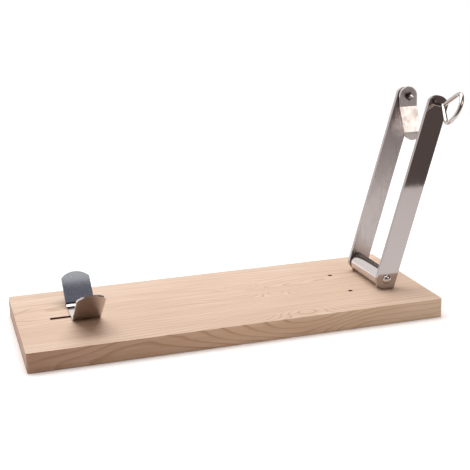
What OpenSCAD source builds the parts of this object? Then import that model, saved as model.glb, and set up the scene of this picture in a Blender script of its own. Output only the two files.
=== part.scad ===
// Folding ham holder: a wooden board with a sliding steel cradle and a pair of folding clamp arms.
// Millimetres, +Z up. The origin is the centre of the board's underside, with +X along the board
// towards the arms and -Y towards the clamp screw.

/* [Board] */
// Length of the board
board_l = 480; // [420:10:560]
// Width of the board
board_w = 195; // [170:5:230]
// Thickness of the board
board_t = 22.5; // [20:0.5:30]
// Radius of the board's upright corners
board_corner_r = 3; // [1:0.5:8]
// Distance from the board's centre to the two spare screw holes
spare_x = 152; // [120:1:165]
// Spacing of the two spare screw holes
spare_spacing = 64; // [50:1:64]
// Diameter of the spare screw holes
spare_d = 4.8; // [4:0.1:6]
// Diameter of the pilot holes under the hinge bracket
pilot_d = 3.6; // [2:0.1:4]
// Depth of the spare holes and pilot holes
pilot_depth = 16; // [10:1:18]

/* [Cradle slot] */
// Distance from the board's centre to the middle of the slot
slot_x = 173.5; // [165:0.5:180]
// Length of the slot
slot_l = 57; // [50:1:60]
// Width of the slot
slot_w = 6.4; // [6.2:0.1:8]
// Width of the nut groove under the slot
groove_w = 20; // [18.5:0.5:26]
// Depth of the nut groove
groove_depth = 12; // [12:0.5:14]

/* [Arms] */
// Distance from the board's centre to the hinge
hinge_x = 194; // [180:1:200]
// Angle by which the raised arms lean back
arm_lean = 17; // [10:1:25]
// Distance from the hinge to the clamp axis
arm_reach = 215; // [150:5:240]
// Width of each arm
arm_w = 25; // [20:1:25]
// Thickness of each arm
arm_t = 5; // [4:0.5:6]
// Clear distance between the arms
arm_gap = 77; // [77:1:90]
// Distance from the clamp axis to the arm's tip
arm_tip = 10; // [8:0.5:12]
// Radius of the arm's arched tip
arm_tip_r = 14.5; // [13:0.5:20]
// Gap between the folded arms and the board
fold_gap = 0.3; // [0.3:0.1:1]
// Diameter of the hinge bolt and the spike pin
pin_d = 6; // [5:0.5:6]

/* [Hinge bracket] */
// Sheet thickness of the bracket
bracket_t = 2; // [1.5:0.5:2.5]
// Outer radius of the bracket's rolled front wall
roll_r = 11.3; // [10:0.1:12]
// Angle at which the rolled wall ends, up from straight behind
roll_end = 68; // [60:1:80]
// Distance from the hinge to the bracket's screws
flange_screw_x = 13; // [12:0.5:20]
// Spacing of the bracket's screws
flange_screw_spacing = 34; // [30:1:50]

/* [Jaw] */
// Width of the jaw plate
jaw_w = 23; // [18:1:26]
// Sheet thickness of the jaw plate
jaw_t = 3; // [2:0.5:3]
// Distance from the pin down to the jaw's first bend
jaw_drop = 13; // [13:0.5:20]
// Height of the sloping tongue
tongue_h = 30; // [20:1:40]
// Angle of the tongue from upright
tongue_angle = 25; // [15:1:35]
// Height of the turned lip
lip_h = 9.5; // [6:0.5:12]
// Length of the spike in front of the jaw
spike_l = 15; // [8:1:18]

/* [Clamp screw] */
// Diameter of the screw's thread
screw_d = 5; // [5:0.1:6]
// Diameter of the grip's wire
wire_d = 4.8; // [4:0.1:5]
// Rod between the near arm and the corner of the grip's first bend
rod_out = 10.7; // [9:0.1:16]
// Straight length of each of the grip's two legs
grip_leg = 23.7; // [18:0.1:28]
// Angle between each leg and the screw's axis
grip_angle = 38; // [30:1:45]
// Turn of the grip's bowed outer side
grip_bow = 92; // [80:1:100]
// Angle of the grip's plane up from level
grip_tilt = 64; // [0:1:90]
// Diameter of the swivel foot
foot_d = 11; // [9:0.5:14]

/* [Cradle] */
// Distance from the board's centre to the cradle
cradle_x = 163; // [155:1:180]
// Width of the cradle along the board
cradle_w = 32; // [28:1:40]
// Depth of the cradle's base between its folds
cradle_base = 44; // [40:1:55]
// Distance from the cradle's front fold to its bolt
bolt_from_fold = 15; // [12:0.5:22]
// Angle of the leaves from upright
leaf_lean = 51; // [40:1:55]
// Length of the front leaf's straight sides
front_l = 57; // [40:0.5:58]
// Rise of the front leaf's rounded end
front_arch = 12.5; // [8:0.5:15.5]
// Sheet thickness of the cradle
cradle_t = 2; // [1.5:0.5:2.5]
// Width of the pad
pad_w = 33.4; // [32.5:0.1:35]
// Length of the pad's straight sides
pad_l = 39.5; // [32:0.5:45]
// Rise of the pad's arched end
pad_arch = 8.2; // [6:0.1:12]
// Thickness of the pad's wall around the back leaf
pad_wall = 2; // [1.6:0.1:3]

/* [Hidden] */
$fn = 64;

steel = [0.78, 0.77, 0.77];
run = 0.05;                    // radial clearance of a pin in its hole
side = 0.1;                    // clearance between faces that slide on each other
hinge_z = board_t + arm_w / 2 + fold_gap;
arm_in = arm_gap / 2;          // arms' inner faces, each side of the centre line
arm_out = arm_in + arm_t;
ear_out = arm_in - 1;          // outer faces of the bracket's ears
clamp_x = hinge_x + arm_reach * sin(arm_lean);
clamp_z = hinge_z + arm_reach * cos(arm_lean);
stop_h = (arm_w / 2 + fold_gap - side - arm_w / 2 * sin(arm_lean)) / cos(arm_lean);
dome_r = 5.5;
dome_h = 4.5;
jaw_back = arm_in - 1.5;       // back face of the jaw plate
jaw_front = jaw_back - jaw_t;
foot_back = arm_in - 4;        // swivel foot's back face, measured from the centre line
foot_t = 4;
cradle_front = -bolt_from_fold;
over = 1;                      // how far a cutter runs past the face it cuts

// Centre-line frames of a bent strip: [point, heading] for each straight's ends and along each bend.
// segs holds [straight length, bend angle] pairs, and r is the bends' centre-line radius.
function bend_frames(segs, r, i = 0, p = [0, 0], a = 0) =
    i == len(segs) ? [] :
    let (b = segs[i][1],
         q = p + segs[i][0] * [cos(a), sin(a)],
         c = q + r * sign(b) * [-sin(a), cos(a)],
         steps = b == 0 ? 0 : 12,
         end = b == 0 ? q : c + r * sign(b) * [sin(a + b), -cos(a + b)])
    concat([[p, a], [q, a]],
           [for (k = [1 : 1 : steps - 1])
               let (h = a + b * k / steps) [c + r * sign(b) * [sin(h), -cos(h)], h]],
           bend_frames(segs, r, i + 1, end, a + b));

// Outline of a bent strip of thickness t, whose centre line starts at p with heading a
module bent_strip(segs, r, t, p = [0, 0], a = 0) {
    f = bend_frames(segs, r, 0, p, a);
    function edge(s) = [for (k = f) k[0] + s * t / 2 * [-sin(k[1]), cos(k[1])]];
    left = edge(1);
    right = edge(-1);
    polygon(concat(left, [for (i = [len(right) - 1 : -1 : 0]) right[i]]));
}

// Draws 2D children in the X-Z plane and extrudes them from y = y0 to y = y1
module slab_y(y0, y1) {
    translate([0, y1, 0]) rotate([90, 0, 0]) linear_extrude(y1 - y0) children();
}

// Round bar along Y, centred on (x, z)
module bar_y(x, z, y0, y1, r) {
    translate([x, y0, z]) rotate([-90, 0, 0]) cylinder(r = r, h = y1 - y0);
}

// Ring along Y, centred on (x, z)
module ring_y(x, z, y0, y1, r_in, r_out) {
    difference() {
        bar_y(x, z, y0, y1, r_out);
        bar_y(x, z, y0 - over, y1 + over, r_in);
    }
}

// Spherical cap of radius r and height h, sitting on z = 0
module dome(r, h) {
    ball_r = (r * r + h * h) / (2 * h);
    intersection() {
        translate([0, 0, h - ball_r]) sphere(ball_r);
        cylinder(r = r + over, h = h + over);
    }
}

// ---- board ----
module screw_holes(x, spacing, d) {
    for (s = [-1, 1])
        translate([x, s * spacing / 2, board_t - pilot_depth]) cylinder(d = d, h = pilot_depth + over);
}

module board() {
    color([0.88, 0.74, 0.60]) difference() {
        linear_extrude(board_t) {
            square([board_l, board_w - 2 * board_corner_r], center = true);
            square([board_l - 2 * board_corner_r, board_w], center = true);
            for (x = [-1, 1], y = [-1, 1])
                translate([x * (board_l / 2 - board_corner_r), y * (board_w / 2 - board_corner_r)])
                    circle(board_corner_r);
        }
        translate([-slot_x - slot_l / 2, -slot_w / 2, -over]) cube([slot_l, slot_w, board_t + 2 * over]);
        translate([-slot_x - slot_l / 2 - groove_w / 2, -groove_w / 2, -over])
            cube([slot_l + groove_w, groove_w, groove_depth + over]);
        screw_holes(spare_x, spare_spacing, spare_d);
        screw_holes(hinge_x + flange_screw_x, flange_screw_spacing, pilot_d);
    }
}

// ---- hinge bracket ----
flange_margin = 7;              // from the screws to the flange's edges
flange_back = hinge_x + flange_screw_x + flange_margin;
flange_side = flange_screw_spacing / 2 + flange_margin;
ear_r = 10;

module hinge_bracket() {
    roll_z = board_t + roll_r;
    color(steel) difference() {
        union() {
            translate([hinge_x, -ear_out, board_t]) cube([ear_r, 2 * ear_out, bracket_t]);
            translate([hinge_x, -flange_side, board_t])
                cube([flange_back - hinge_x, 2 * flange_side, bracket_t]);
            slab_y(-ear_out, ear_out) translate([hinge_x, roll_z]) difference() {
                circle(roll_r);
                circle(roll_r - bracket_t);
                polygon([[0, 0], [0, -2 * roll_r], [2 * roll_r, -2 * roll_r], [2 * roll_r, 0],
                         2 * roll_r * [cos(roll_end), sin(roll_end)]]);
            }
            for (y = [-ear_out, ear_out - bracket_t])
                slab_y(y, y + bracket_t) {
                    translate([hinge_x, hinge_z]) circle(ear_r);
                    translate([hinge_x - ear_r, board_t + bracket_t / 2])
                        square([2 * ear_r, hinge_z - board_t - bracket_t / 2]);
                }
        }
        bar_y(hinge_x, hinge_z, -ear_out - over, ear_out + over, pin_d / 2 + run);
        for (s = [-1, 1])
            translate([hinge_x + flange_screw_x, s * flange_screw_spacing / 2, board_t - over])
                cylinder(d = pilot_d + 0.4, h = bracket_t + 2 * over);
    }
}

module bracket_screws() {
    head_r = 3.6;
    color(steel) for (s = [-1, 1])
        translate([hinge_x + flange_screw_x, s * flange_screw_spacing / 2, board_t + bracket_t]) {
            difference() {
                dome(head_r, 2.4);
                for (a = [0, 90])
                    rotate(a) translate([-2.2, -0.4, 1.2]) cube([4.4, 0.8, 2]);
            }
            translate([0, 0, 1.5 - bracket_t - pilot_depth])
                cylinder(d = pilot_d - 0.1, h = pilot_depth + bracket_t - 1.5);
        }
}

// ---- arms ----
// One arm lying in the X-Z plane with its hinge hole at the origin and its tip along +Z
module arm_outline(top_hole_d) {
    difference() {
        union() {
            circle(arm_w / 2);
            translate([0, -stop_h]) square([arm_w / 2, stop_h]);
            intersection() {
                translate([-arm_w / 2, 0]) square([arm_w, arm_reach + arm_tip]);
                union() {
                    translate([0, arm_reach + arm_tip - arm_tip_r]) circle(arm_tip_r);
                    translate([-arm_w / 2, 0]) square([arm_w, arm_reach + arm_tip - arm_tip_r]);
                }
            }
        }
        circle(pin_d / 2 + run);
        translate([0, arm_reach]) circle(top_hole_d / 2 + run);
    }
}

module arm(y_inner_to_outer, top_hole_d) {
    color(steel) translate([hinge_x, y_inner_to_outer, hinge_z]) rotate([0, arm_lean, 0])
        rotate([90, 0, 0]) linear_extrude(arm_t) arm_outline(top_hole_d);
}

module near_arm() { arm(-arm_in, screw_d); }

module far_arm() { arm(arm_out, pin_d); }

// ---- hinge hardware ----
nut_base = 2.5;
nut_bore = 5;
nut_step = 0.3;                // the nut's dome is this much smaller in radius than its base

module hinge_bolt() {
    color(steel) {
        bar_y(hinge_x, hinge_z, -arm_out - side, arm_out + nut_bore - side, pin_d / 2);
        translate([hinge_x, -arm_out, hinge_z]) rotate([90, 0, 0]) dome(dome_r, dome_h);
    }
}

module dome_nut(x, z) {
    difference() {
        translate([x, arm_out, z]) rotate([-90, 0, 0]) {
            cylinder(r = dome_r, h = nut_base);
            translate([0, 0, nut_base]) dome(dome_r - nut_step, dome_h);
        }
        bar_y(x, z, arm_out - over, arm_out + nut_bore, pin_d / 2 + run);
    }
}

module dome_nuts() {
    color(steel) {
        dome_nut(hinge_x, hinge_z);
        dome_nut(clamp_x, clamp_z);
    }
}

module hinge_washers() {
    washer_r = 7;
    color(steel) {
        ring_y(hinge_x, hinge_z, -arm_in, -ear_out - side, pin_d / 2 + run, washer_r);
        ring_y(hinge_x, hinge_z, ear_out + side, arm_in, pin_d / 2 + run, washer_r);
    }
}

// ---- jaw ----
module jaw_washer() {
    color(steel) ring_y(clamp_x, clamp_z, jaw_back + side, arm_in, pin_d / 2 + run, 6);
}

// The jaw's side profile is bent from sheet, and its front outline is a strip with round ends
module jaw_plate() {
    bend_r = jaw_t;
    half_turn = bend_r * tan(tongue_angle / 2);
    top = jaw_w / 2;
    upper = top + jaw_drop - half_turn;
    tongue = tongue_h / cos(tongue_angle) - 2 * half_turn;
    low = jaw_drop + tongue_h + lip_h;
    color(steel) translate([clamp_x, 0, clamp_z]) difference() {
        intersection() {
            translate([-jaw_w / 2, jaw_front + jaw_t / 2, top]) rotate([0, 90, 0]) linear_extrude(jaw_w)
                bent_strip([[upper, -tongue_angle], [tongue, tongue_angle], [lip_h, 0]], bend_r, jaw_t);
            slab_y(0, arm_in) {
                circle(jaw_w / 2);
                translate([-jaw_w / 2, jaw_w / 2 - low]) square([jaw_w, low - jaw_w / 2]);
                translate([0, jaw_w / 2 - low]) circle(jaw_w / 2);
            }
        }
        bar_y(0, 0, 0, arm_in, pin_d / 2 + run);
    }
}

module spike_pin() {
    collar_y = jaw_front - side;
    collar_t = 1.5;
    point_l = 6;
    color(steel) {
        bar_y(clamp_x, clamp_z, collar_y - collar_t, arm_out + nut_bore - side, pin_d / 2);
        bar_y(clamp_x, clamp_z, collar_y - collar_t, collar_y, pin_d / 2 + 1.8);
        bar_y(clamp_x, clamp_z, jaw_front - spike_l + point_l, jaw_front - 1, pin_d / 2);
        translate([clamp_x, jaw_front - spike_l + point_l, clamp_z]) rotate([90, 0, 0])
            cylinder(r1 = pin_d / 2, r2 = 0.4, h = point_l);
    }
}

// ---- clamp screw ----
// A bent round wire in the X-Y plane, from [straight length, bend angle, bend radius] triples. Bends
// are parts of a torus, and straights are cylinders a hair thicker that lap over the bends' ends, so
// that they join with a clean edge.
module bent_wire(segs, wire_r, i = 0) {
    lap = 0.2;
    hair = 0.03;
    if (i < len(segs)) {
        b = segs[i][1];
        r = segs[i][2];
        translate([-lap, 0, 0]) rotate([0, 90, 0])
            cylinder(r = wire_r + hair, h = segs[i][0] + 2 * lap);
        translate([segs[i][0], 0, 0]) {
            if (b != 0)
                translate([0, sign(b) * r, 0]) rotate(b > 0 ? -90 : 90 + b)
                    rotate_extrude(angle = abs(b)) translate([r, 0]) circle(wire_r);
            translate([r * sin(abs(b)), sign(b) * r * (1 - cos(b)), 0]) rotate(b)
                bent_wire(segs, wire_r, i + 1);
        }
    }
}

module clamp_screw() {
    apex_r = 5;
    corner_r = 8;
    bow_r = 20;
    corner = 90 + grip_angle - grip_bow / 2;
    apex_cut = apex_r * tan(grip_angle / 2);
    weld_gap = 3;                      // the last leg ends this far from the first bend's corner
    link = 1;                          // short straight between two bends
    thread_end = rod_out - 3;
    tail = arm_out - foot_back + foot_t - 1.5;
    // The screw's local X runs outwards along the clamp axis, and the grip lies in its local X-Y plane
    color(steel) translate([clamp_x, -arm_out, clamp_z]) rotate([0, -grip_tilt, 0]) rotate(-90) {
        translate([-tail, 0, 0]) rotate([0, 90, 0]) cylinder(d = screw_d, h = tail + thread_end);
        bent_wire([[rod_out - apex_cut, -grip_angle, apex_r],
                   [grip_leg, corner, corner_r],
                   [link, grip_bow, bow_r],
                   [link, corner, corner_r],
                   [grip_leg + apex_cut - weld_gap, 0, 0]], wire_d / 2);
    }
}

module screw_foot() {
    color(steel) difference() {
        union() {
            bar_y(clamp_x, clamp_z, -foot_back, -foot_back + foot_t, foot_d / 2);
            translate([clamp_x, -foot_back + foot_t, clamp_z]) rotate([-90, 0, 0])
                cylinder(r1 = foot_d / 2 - 2, r2 = 0.5, h = 3);
        }
        bar_y(clamp_x, clamp_z, -foot_back - over, -foot_back + foot_t - 1, screw_d / 2 + run);
    }
}

// ---- cradle ----
function arch_r(w, arch) = (w * w / 4 + arch * arch) / (2 * arch);

// A leaf lies in the X-Y plane with its root on the X axis: straight sides and an arched end
module leaf_outline(w, l, arch) {
    intersection() {
        translate([-w / 2, 0]) square([w, l + arch]);
        union() {
            translate([0, l + arch - arch_r(w, arch)]) circle(arch_r(w, arch));
            translate([-w / 2, 0]) square([w, l]);
        }
    }
}

cradle_bend_r = 8;
leaf_turn = 90 - leaf_lean;
leaf_root = cradle_bend_r * tan(leaf_turn / 2);
base_z = board_t + side;
pad_start = 5;                 // the pad starts this far up the back leaf
back_w = pad_w - 2 * pad_wall;
back_l = pad_l - 1;
back_arch = pad_arch - pad_wall;

// Places children on a leaf: their X runs along the board, their Y up the leaf, their Z out of its
// upper face. The back leaf is at end = 1 and the front leaf at end = -1.
module on_leaf(end) {
    fold_y = end > 0 ? cradle_front + cradle_base : cradle_front;
    translate([-cradle_x, fold_y, base_z + cradle_t / 2]) mirror([0, end > 0 ? 0 : 1, 0])
        rotate([leaf_turn, 0, 0]) children();
}

// A cutter for a leaf: cuts the part of the sheet where its 2D children lie
module leaf_cut(end) {
    on_leaf(end) translate([0, 0, -cradle_t]) linear_extrude(2 * cradle_t) children();
}

module cradle() {
    bolt_hole_r = 3.2;
    front_full = front_l + front_arch;
    end_r = arch_r(cradle_w, front_arch);
    tip = [cradle_front - front_full * cos(leaf_turn), front_full * sin(leaf_turn)];
    color(steel) difference() {
        translate([-cradle_x - cradle_w / 2, 0, base_z + cradle_t / 2]) rotate([90, 0, 90])
            linear_extrude(cradle_w)
                bent_strip([[front_full - leaf_root, leaf_turn], [cradle_base - 2 * leaf_root, leaf_turn],
                            [back_l + back_arch - leaf_root, 0]], cradle_bend_r, cradle_t, tip, -leaf_turn);
        leaf_cut(-1) translate([0, front_full - end_r]) difference() {
            translate([-cradle_w, 0]) square([2 * cradle_w, end_r + over]);
            circle(end_r);
        }
        leaf_cut(1) difference() {
            translate([-cradle_w, pad_start + side]) square([2 * cradle_w, pad_l + pad_arch]);
            leaf_outline(back_w, back_l, back_arch);
        }
        translate([-cradle_x, 0, base_z - over]) cylinder(r = bolt_hole_r, h = cradle_t + 2 * over);
    }
}

// Moulded cap that slides over the back leaf, with a pocket the shape of the leaf
module cradle_pad() {
    slip = 0.05;
    color([0.33, 0.36, 0.44]) on_leaf(1) difference() {
        translate([0, pad_start, -cradle_t / 2 - pad_wall]) linear_extrude(cradle_t + 2 * pad_wall)
            leaf_outline(pad_w, pad_l - pad_start, pad_arch);
        translate([0, 0, -cradle_t / 2 - slip]) linear_extrude(cradle_t + 2 * slip)
            leaf_outline(back_w + 2 * slip, back_l + slip, back_arch);
    }
}

// ---- cradle fixing ----
bolt_r = 3;
washer_t = 1.6;
washer_top = groove_depth - side;

module cradle_bolt() {
    head_r = 6;
    head_h = 3.6;
    bolt_end = 3;
    color(steel) translate([-cradle_x, 0, 0]) difference() {
        union() {
            translate([0, 0, bolt_end]) cylinder(r = bolt_r, h = base_z + cradle_t - bolt_end + 1);
            translate([0, 0, base_z + cradle_t]) dome(head_r, head_h);
        }
        translate([0, 0, base_z + cradle_t + 1.4]) cylinder(d = 4.6, h = head_h, $fn = 6);
    }
}

module cradle_washer() {
    color(steel) translate([-cradle_x, 0, washer_top - washer_t]) difference() {
        cylinder(r = 9, h = washer_t);
        translate([0, 0, -over]) cylinder(r = bolt_r + run, h = washer_t + 2 * over);
    }
}

module cradle_nut() {
    nut_w = 10;
    nut_t = 5;
    color(steel) translate([-cradle_x, 0, washer_top - washer_t - nut_t]) difference() {
        translate([-nut_w / 2, -nut_w / 2, 0]) cube([nut_w, nut_w, nut_t]);
        translate([0, 0, -over]) cylinder(r = bolt_r + run, h = nut_t + 2 * over);
    }
}

board();
hinge_bracket();
bracket_screws();
near_arm();
far_arm();
hinge_bolt();
dome_nuts();
hinge_washers();
jaw_washer();
jaw_plate();
spike_pin();
clamp_screw();
screw_foot();
cradle();
cradle_pad();
cradle_bolt();
cradle_washer();
cradle_nut();
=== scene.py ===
"""Folding ham holder: finish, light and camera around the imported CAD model.

Every piece is a CAD node. This script rounds their edges, gives them procedural finishes and
lights them as a plain studio shot. Lengths are in metres, in the CAD model's frame.
"""
import math

import bpy
from mathutils import Matrix, Vector

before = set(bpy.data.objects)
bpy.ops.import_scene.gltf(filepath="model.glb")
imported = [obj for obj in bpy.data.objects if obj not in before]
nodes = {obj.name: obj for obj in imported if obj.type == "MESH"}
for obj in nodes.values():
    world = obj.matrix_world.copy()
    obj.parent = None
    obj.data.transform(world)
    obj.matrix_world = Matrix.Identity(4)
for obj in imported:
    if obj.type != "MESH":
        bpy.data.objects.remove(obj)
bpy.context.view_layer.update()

MM = 0.001

# ---- camera ----
CAMERA_AT = (-0.3166, -1.1147, 0.4214)
CAMERA_YAW = 16.76       # turned right of +Y
CAMERA_PITCH = 15.54     # looking down
CAMERA_ROLL = 1.54
CAMERA_LENS = 78.93      # on a 36 mm wide sensor


def add_camera():
    data = bpy.data.cameras.new("camera")
    data.sensor_width = 36
    data.lens = CAMERA_LENS
    data.clip_start = 0.01
    camera = bpy.data.objects.new("camera", data)
    camera.matrix_world = (
        Matrix.Translation(CAMERA_AT)
        @ Matrix.Rotation(math.radians(-CAMERA_YAW), 4, "Z")
        @ Matrix.Rotation(math.radians(90 - CAMERA_PITCH), 4, "X")
        @ Matrix.Rotation(math.radians(-CAMERA_ROLL), 4, "Z")
    )
    bpy.context.scene.collection.objects.link(camera)
    bpy.context.scene.camera = camera


# ---- places on the board that its finish needs ----
SPARE_HOLE_X = 0.152
SPARE_HOLE_Y = 0.032
SPARE_HOLE_R = 0.00245
SLOT_X = -0.1735
SLOT_HALF_L = 0.0286
SLOT_HALF_W = 0.00325


# ---- node helpers ----
class Shader:
    """A material under construction: short names for the nodes that the finishes share."""

    def __init__(self, name):
        self.material = bpy.data.materials.new(name)
        self.material.use_nodes = True
        self.tree = self.material.node_tree
        self.bsdf = self.tree.nodes["Principled BSDF"]

    def node(self, kind, **settings):
        n = self.tree.nodes.new(kind)
        for key, value in settings.items():
            setattr(n, key, value)
        return n

    def put(self, socket, value):
        """Sets a socket to a constant, or links it to another socket."""
        if isinstance(value, bpy.types.NodeSocket):
            self.tree.links.new(value, socket)
        else:
            socket.default_value = value

    def position(self):
        return self.node("ShaderNodeTexCoord").outputs["Object"]

    def stretched(self, scale, turn=(0, 0, 0), move=(0, 0, 0)):
        n = self.node("ShaderNodeMapping")
        self.put(n.inputs["Vector"], self.position())
        n.inputs["Scale"].default_value = scale
        n.inputs["Rotation"].default_value = turn
        n.inputs["Location"].default_value = move
        return n.outputs["Vector"]

    def noise(self, vector, detail, rough):
        n = self.node("ShaderNodeTexNoise")
        self.put(n.inputs["Vector"], vector)
        n.inputs["Scale"].default_value = 1.0
        n.inputs["Detail"].default_value = detail
        n.inputs["Roughness"].default_value = rough
        return n.outputs["Fac"]

    def math(self, operation, a, b=0.0, c=0.0):
        n = self.node("ShaderNodeMath", operation=operation)
        for socket, value in zip(n.inputs, (a, b, c)):
            self.put(socket, value)
        return n.outputs[0]

    def span(self, value, low, high, to_low, to_high):
        n = self.node("ShaderNodeMapRange")
        self.put(n.inputs["Value"], value)
        for name, v in (("From Min", low), ("From Max", high), ("To Min", to_low), ("To Max", to_high)):
            self.put(n.inputs[name], v)
        return n.outputs["Result"]

    def ramp(self, value, stops, smooth=True):
        n = self.node("ShaderNodeValToRGB")
        n.color_ramp.interpolation = "EASE" if smooth else "LINEAR"
        elements = n.color_ramp.elements
        while len(elements) < len(stops):
            elements.new(0.5)
        for element, (at, colour) in zip(elements, stops):
            element.position = at
            element.color = (*colour, 1)
        self.put(n.inputs["Fac"], value)
        return n.outputs["Color"]

    def mix(self, factor, a, b, kind="MIX"):
        n = self.node("ShaderNodeMix", data_type="RGBA", blend_type=kind)
        self.put(n.inputs[0], factor)
        for socket, value in ((n.inputs[6], a), (n.inputs[7], b)):
            self.put(socket, value if isinstance(value, bpy.types.NodeSocket) else (*value, 1))
        return n.outputs[2]

    def bump(self, height, strength, distance):
        n = self.node("ShaderNodeBump")
        n.inputs["Strength"].default_value = strength
        n.inputs["Distance"].default_value = distance
        self.put(n.inputs["Height"], height)
        return n.outputs["Normal"]

    def set(self, **values):
        """Sets Principled sockets by name, with _ for a space."""
        for key, value in values.items():
            socket = self.bsdf.inputs[key.replace("_", " ")]
            if isinstance(value, tuple) and len(value) == 3:
                value = (*value, 1)
            self.put(socket, value)


# ---- finishes ----
LOG_CENTRE_Y = 0.035     # the log's centre line runs along x, under the board
LOG_CENTRE_Z = -0.055
RING_SPACING = 0.0038
KNOTS = (                # x, y, half length, half width, how far it pushes the rings out
    (0.066, -0.004, 0.020, 0.010, 0.016),
    (0.034, 0.029, 0.022, 0.008, 0.012),
    (0.080, -0.074, 0.040, 0.022, 0.020),
    (-0.060, 0.0, 0.090, 0.030, 0.012),
)


def length(s, a, b):
    """The length of the vector (a, b)."""
    return s.math("SQRT", s.math("ADD", s.math("MULTIPLY", a, a), s.math("MULTIPLY", b, b)))


def late_wood(s, x, y, z):
    """1 on the dark late wood of each growth ring, near 0 between. The rings wander, ripple, go round
    the knots and fade in places."""
    across = s.math("ADD", y, -LOG_CENTRE_Y)
    down = s.math("ADD", z, -LOG_CENTRE_Z)
    radius = length(s, across, down)
    wander = s.noise(s.stretched((2.6, 9, 9)), 2.5, 0.45)
    ripple = s.noise(s.stretched((11, 46, 46)), 2.0, 0.5)
    radius = s.math("MULTIPLY_ADD", wander, 0.075, radius)
    radius = s.math("MULTIPLY_ADD", ripple, 0.0045, radius)
    for knot_x, knot_y, half_length, half_width, push in KNOTS:
        dx = s.math("DIVIDE", s.math("SUBTRACT", x, knot_x), half_length)
        dy = s.math("DIVIDE", s.math("SUBTRACT", y, knot_y), half_width)
        squares = s.math("ADD", s.math("MULTIPLY", dx, dx), s.math("MULTIPLY", dy, dy))
        near = s.math("EXPONENT", s.math("MULTIPLY", squares, -1.0))
        radius = s.math("MULTIPLY_ADD", near, push, radius)
    ring = s.math("FRACT", s.math("DIVIDE", radius, RING_SPACING))
    late = s.ramp(ring, [(0.0, (0.1,) * 3), (0.62, (0.22,) * 3), (0.90, (1.0,) * 3), (1.0, (0.1,) * 3)])
    fade = s.noise(s.stretched((3.5, 16, 16), move=(3, 1, 0)), 2.0, 0.5)
    return s.math("MULTIPLY", late, s.span(fade, 0.35, 0.65, 0.30, 1.0))


def painted_edge_shade(s, x, colour):
    """Painted shade: the board's four edges are toned darker and browner than its top, most of all towards
    the cradle's end, standing in for the weaker light that reaches its sides."""
    normal = s.node("ShaderNodeSeparateXYZ")
    s.put(normal.inputs[0], s.node("ShaderNodeNewGeometry").outputs["True Normal"])
    edge = s.span(s.math("ABSOLUTE", normal.outputs[2]), 0.3, 0.8, 1.0, 0.0)
    # painted shade: the sides are darkest at the cradle's end, x = -0.24
    tone = s.ramp(s.span(x, -0.24, 0.24, 0.0, 1.0),
                  [(0.0, (0.60, 0.46, 0.38)), (0.5, (1.0, 0.92, 0.82)), (1.0, (1.0, 0.97, 0.87))],
                  smooth=False)
    return s.mix(edge, colour, s.mix(1.0, colour, tone, "MULTIPLY"))


def painted_cut_shade(s, x, y, colour):
    """Painted shade: the drilled holes and the sawn slot are dark inside, and so is a thin line round their
    rims.
    """
    cut = 0.0
    for side in (-1, 1):
        dx = s.math("SUBTRACT", x, SPARE_HOLE_X)
        dy = s.math("SUBTRACT", y, side * SPARE_HOLE_Y)
        hole = s.span(length(s, dx, dy), SPARE_HOLE_R + 0.2 * MM, SPARE_HOLE_R + 0.6 * MM, 1.0, 0.0)
        cut = s.math("MAXIMUM", cut, hole)
    along = s.math("ABSOLUTE", s.math("SUBTRACT", x, SLOT_X))
    along = s.span(along, SLOT_HALF_L, SLOT_HALF_L + 0.3 * MM, 1.0, 0.0)
    across = s.span(s.math("ABSOLUTE", y), SLOT_HALF_W, SLOT_HALF_W + 0.3 * MM, 1.0, 0.0)
    cut = s.math("MAXIMUM", cut, s.math("MULTIPLY", along, across))
    # the colour of the painted shade in the cuts
    return s.mix(cut, colour, (0.200, 0.085, 0.048))


def wood():
    """Flat-sawn light hardwood: growth rings about an axis under the board, knots and fibres."""
    s = Shader("board_wood")
    xyz = s.node("ShaderNodeSeparateXYZ")
    s.put(xyz.inputs[0], s.position())
    x, y, z = xyz.outputs
    late = late_wood(s, x, y, z)
    fibre = s.noise(s.stretched((26, 1150, 1150)), 2.0, 0.6)
    streak = s.noise(s.stretched((7, 170, 170), move=(0, 5, 2)), 2.0, 0.55)
    cloud = s.noise(s.stretched((4, 13, 13), move=(7, 0, 3)), 3.0, 0.5)
    colour = s.mix(s.span(cloud, 0.3, 0.7, 0, 1), (0.740, 0.585, 0.475), (0.660, 0.485, 0.370))
    colour = s.mix(s.math("MULTIPLY", late, 0.80), colour, (0.400, 0.232, 0.136))
    colour = s.mix(s.span(streak, 0.40, 0.70, 0.0, 0.42), colour, (0.500, 0.330, 0.220))
    colour = s.mix(s.span(fibre, 0.45, 0.80, 0.0, 0.36), colour, (0.460, 0.300, 0.200))
    # painted shade on the board's four sides, darkest towards the cradle's end
    colour = painted_edge_shade(s, x, colour)
    # painted shade in the holes and the slot, and on a thin line round their rims
    colour = painted_cut_shade(s, x, y, colour)
    grain = s.math("ADD", s.math("MULTIPLY", late, 0.5), fibre)
    s.set(Base_Color=colour, Roughness=s.span(fibre, 0.3, 0.7, 0.46, 0.58),
          Normal=s.bump(grain, 0.16, 0.0004), Specular_IOR_Level=0.35)
    return s.material


def polished(name, tint, rough, grain, turn=(0, 0, 0)):
    """Polished steel: faint polishing lines along one direction, and smudges."""
    s = Shader(name)
    lines = s.noise(s.stretched(grain, turn=turn), 3.0, 0.6)
    smudge = s.noise(s.stretched((38, 38, 26)), 3.0, 0.55)
    dirt = s.noise(s.stretched((9, 9, 9), move=(2, 0, 1)), 2.0, 0.5)
    tone = s.mix(s.span(dirt, 0.35, 0.7, 0.0, 0.5), tint, tuple(0.92 * c for c in tint))
    wear = s.math("ADD", s.math("MULTIPLY", lines, 0.4), s.math("MULTIPLY", smudge, 0.6))
    s.set(Base_Color=tone, Metallic=1.0, Roughness=s.span(wear, 0.3, 0.7, rough * 0.6, rough * 1.5),
          Normal=s.bump(s.math("MULTIPLY_ADD", smudge, 1.6, lines), 0.05, 0.0002))
    return s.material


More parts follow.
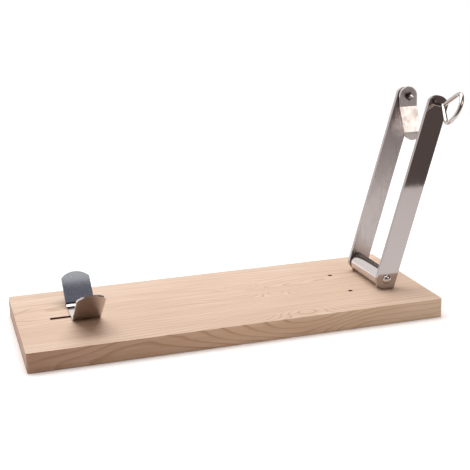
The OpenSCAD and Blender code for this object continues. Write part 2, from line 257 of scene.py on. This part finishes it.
def pad_plastic():
    """Glossy blue-grey moulded plastic with fine speckle and a soft cloudy tone."""
    s = Shader("pad_plastic")
    speckle = s.noise(s.stretched((520, 520, 520)), 2.0, 0.6)
    cloud = s.noise(s.stretched((60, 60, 45)), 3.0, 0.5)
    colour = s.mix(s.span(cloud, 0.35, 0.7, 0, 1), (0.016, 0.022, 0.050), (0.030, 0.038, 0.078))
    colour = s.mix(s.span(speckle, 0.60, 0.72, 0.0, 0.5), colour, (0.16, 0.18, 0.24))
    s.set(Base_Color=colour, Roughness=s.span(cloud, 0.3, 0.7, 0.05, 0.08),
          Normal=s.bump(speckle, 0.02, 0.0002), Specular_IOR_Level=0.7, Coat_Weight=0.6, Coat_Roughness=0.05)
    return s.material


def paint(names, material):
    for name in names:
        mesh = nodes[name].data
        mesh.materials.clear()
        mesh.materials.append(material)


def round_edges(names, width, segments=2, angle=30):
    for name in names:
        bevel = nodes[name].modifiers.new("edges", "BEVEL")
        bevel.width = width
        bevel.segments = segments
        bevel.limit_method = "ANGLE"
        bevel.angle_limit = math.radians(angle)
        bevel.harden_normals = True


ARM_LEAN = math.radians(17)      # the arms' polishing lines run along them


def finish_nodes():
    """Each steel piece has a tint and a roughness of its own, chosen for this studio light. The pieces are
    one steel, so the differing tints are painted light and shade: the jaw plate's is lightest and the spike
    pin's darkest.
    """
    paint(["board"], wood())
    # painted shade: the arms' tints are darker copies of the same steel
    paint(["near_arm"],
          polished("near_arm_steel", (0.430, 0.388, 0.380), 0.055, (420, 420, 9), (0, ARM_LEAN, 0)))
    paint(["far_arm"],
          polished("far_arm_steel", (0.475, 0.425, 0.416), 0.27, (420, 420, 9), (0, ARM_LEAN, 0)))
    # painted light: the jaw's tint is a lighter copy of the same steel
    paint(["jaw_plate"], polished("jaw_steel", (0.76, 0.71, 0.70), 0.34, (300, 300, 16)))
    paint(["cradle"], polished("cradle_steel", (0.66, 0.60, 0.57), 0.19, (16, 300, 300)))
    paint(["hinge_bracket"], polished("bracket_steel", (0.66, 0.61, 0.60), 0.13, (300, 14, 300)))
    # painted shade: the spike pin's tint is a much darker copy of the same steel
    paint(["spike_pin"], polished("spike_steel_painted_shade", (0.22, 0.195, 0.19), 0.14, (60, 60, 60)))
    # painted shade: the wire's tint is a darker copy of the same steel
    paint(["clamp_screw", "screw_foot"], polished("wire_steel", (0.52, 0.475, 0.45), 0.11, (60, 60, 60)))
    paint(["bracket_screws", "hinge_bolt", "dome_nuts", "hinge_washers", "jaw_washer", "cradle_bolt",
           "cradle_washer", "cradle_nut"],
          polished("fastener_steel", (0.64, 0.61, 0.59), 0.16, (90, 90, 90)))
    paint(["cradle_pad"], pad_plastic())
    round_edges(["board"], 1.6 * MM, 3)
    round_edges(["near_arm", "far_arm"], 0.5 * MM)
    round_edges(["jaw_plate", "cradle", "hinge_bracket"], 0.4 * MM)
    round_edges(["cradle_pad"], 1.9 * MM, 5)
    round_edges(["jaw_washer", "hinge_washers", "cradle_washer", "cradle_nut"], 0.2 * MM)


# ---- studio ----
FLOOR_FRONT = -0.61      # the table's front edge, in front of the camera's view
FLOOR_BACK = 1.15
FLOOR_WIDTH = 3.2
FLOOR_GLOW = 0.14        # lightens the shadow under the object
TOP_AT = (0.0, 0.52, 1.55)
TOP_SIZE = (2.0, 1.24)
TOP_WATTS = 26.5
RIGHT_AT = (0.95, -1.05, 1.05)
RIGHT_SIZE = (0.7, 0.5)
RIGHT_WATTS = 3.0
ROOM_DARK = (0.170, 0.137, 0.127, 1)
ROOM_BRIGHT = (1.0, 0.98, 0.97, 1)


def floor_material():
    """Pale matt acrylic."""
    s = Shader("floor_acrylic")
    pale = (0.94, 0.935, 0.935)
    mottle = s.noise(s.stretched((3, 3, 3)), 2.0, 0.5)
    s.set(Base_Color=s.mix(mottle, pale, tuple(0.985 * c for c in pale)), Roughness=0.7,
          Emission_Color=(1.0, 0.995, 0.99), Emission_Strength=FLOOR_GLOW)
    return s.material


def add_floor():
    bpy.ops.mesh.primitive_plane_add(size=1, location=(0, (FLOOR_FRONT + FLOOR_BACK) / 2, 0))
    floor = bpy.context.object
    floor.name = "floor"
    floor.scale = (FLOOR_WIDTH, FLOOR_BACK - FLOOR_FRONT, 1)
    floor.data.materials.append(floor_material())


def add_light(name, at, aim, size, watts, colour=(1, 1, 1)):
    data = bpy.data.lights.new(name, "AREA")
    data.shape = "RECTANGLE"
    data.size, data.size_y = size
    data.energy = watts
    data.color = colour
    lamp = bpy.data.objects.new(name, data)
    lamp.location = at
    direction = Vector(aim) - lamp.location
    lamp.rotation_euler = direction.to_track_quat("-Z", "Y").to_euler()
    bpy.context.scene.collection.objects.link(lamp)


def add_world():
    """White behind the object for the camera. For reflections and fill light: a studio that is bright
    behind and to the left, and brownish and dim towards the front and the right."""
    world = bpy.data.worlds.new("studio")
    bpy.context.scene.world = world
    world.use_nodes = True
    tree = world.node_tree

    def node(kind, **settings):
        n = tree.nodes.new(kind)
        for key, value in settings.items():
            setattr(n, key, value)
        return n

    def math_node(operation, a, b):
        n = node("ShaderNodeMath", operation=operation)
        for socket, value in zip(n.inputs, (a, b)):
            if isinstance(value, bpy.types.NodeSocket):
                tree.links.new(value, socket)
            else:
                socket.default_value = value
        return n.outputs[0]

    def smooth(value, low, high):
        n = node("ShaderNodeMapRange", interpolation_type="SMOOTHSTEP")
        tree.links.new(value, n.inputs["Value"])
        n.inputs["From Min"].default_value = low
        n.inputs["From Max"].default_value = high
        return n.outputs["Result"]

    xyz = node("ShaderNodeSeparateXYZ")
    tree.links.new(node("ShaderNodeTexCoord").outputs["Generated"], xyz.inputs[0])
    x, y, z = xyz.outputs
    back_left = smooth(math_node("SUBTRACT", y, x), 0.50, 0.80)
    back_high = smooth(math_node("ADD", z, math_node("MULTIPLY", y, 0.5)), 0.80, 0.95)
    bright = math_node("MAXIMUM", back_left, back_high)
    colour = node("ShaderNodeMix", data_type="RGBA")
    tree.links.new(bright, colour.inputs[0])
    colour.inputs[6].default_value = ROOM_DARK
    colour.inputs[7].default_value = ROOM_BRIGHT
    room = node("ShaderNodeBackground")
    tree.links.new(colour.outputs[2], room.inputs["Color"])
    back = tree.nodes["Background"]
    back.inputs["Color"].default_value = (1, 1, 1, 1)
    mix = node("ShaderNodeMixShader")
    tree.links.new(node("ShaderNodeLightPath").outputs["Is Camera Ray"], mix.inputs[0])
    tree.links.new(room.outputs[0], mix.inputs[1])
    tree.links.new(back.outputs[0], mix.inputs[2])
    tree.links.new(mix.outputs[0], tree.nodes["World Output"].inputs["Surface"])


def add_studio():
    add_floor()
    add_world()
    add_light("top", TOP_AT, (TOP_AT[0], TOP_AT[1], 0), TOP_SIZE, TOP_WATTS)
    add_light("right", RIGHT_AT, (0.2, 0, 0.15), RIGHT_SIZE, RIGHT_WATTS, (1.0, 0.92, 0.84))
    view = bpy.context.scene.view_settings
    view.view_transform = "Standard"
    view.look = "None"


add_camera()
finish_nodes()
add_studio()
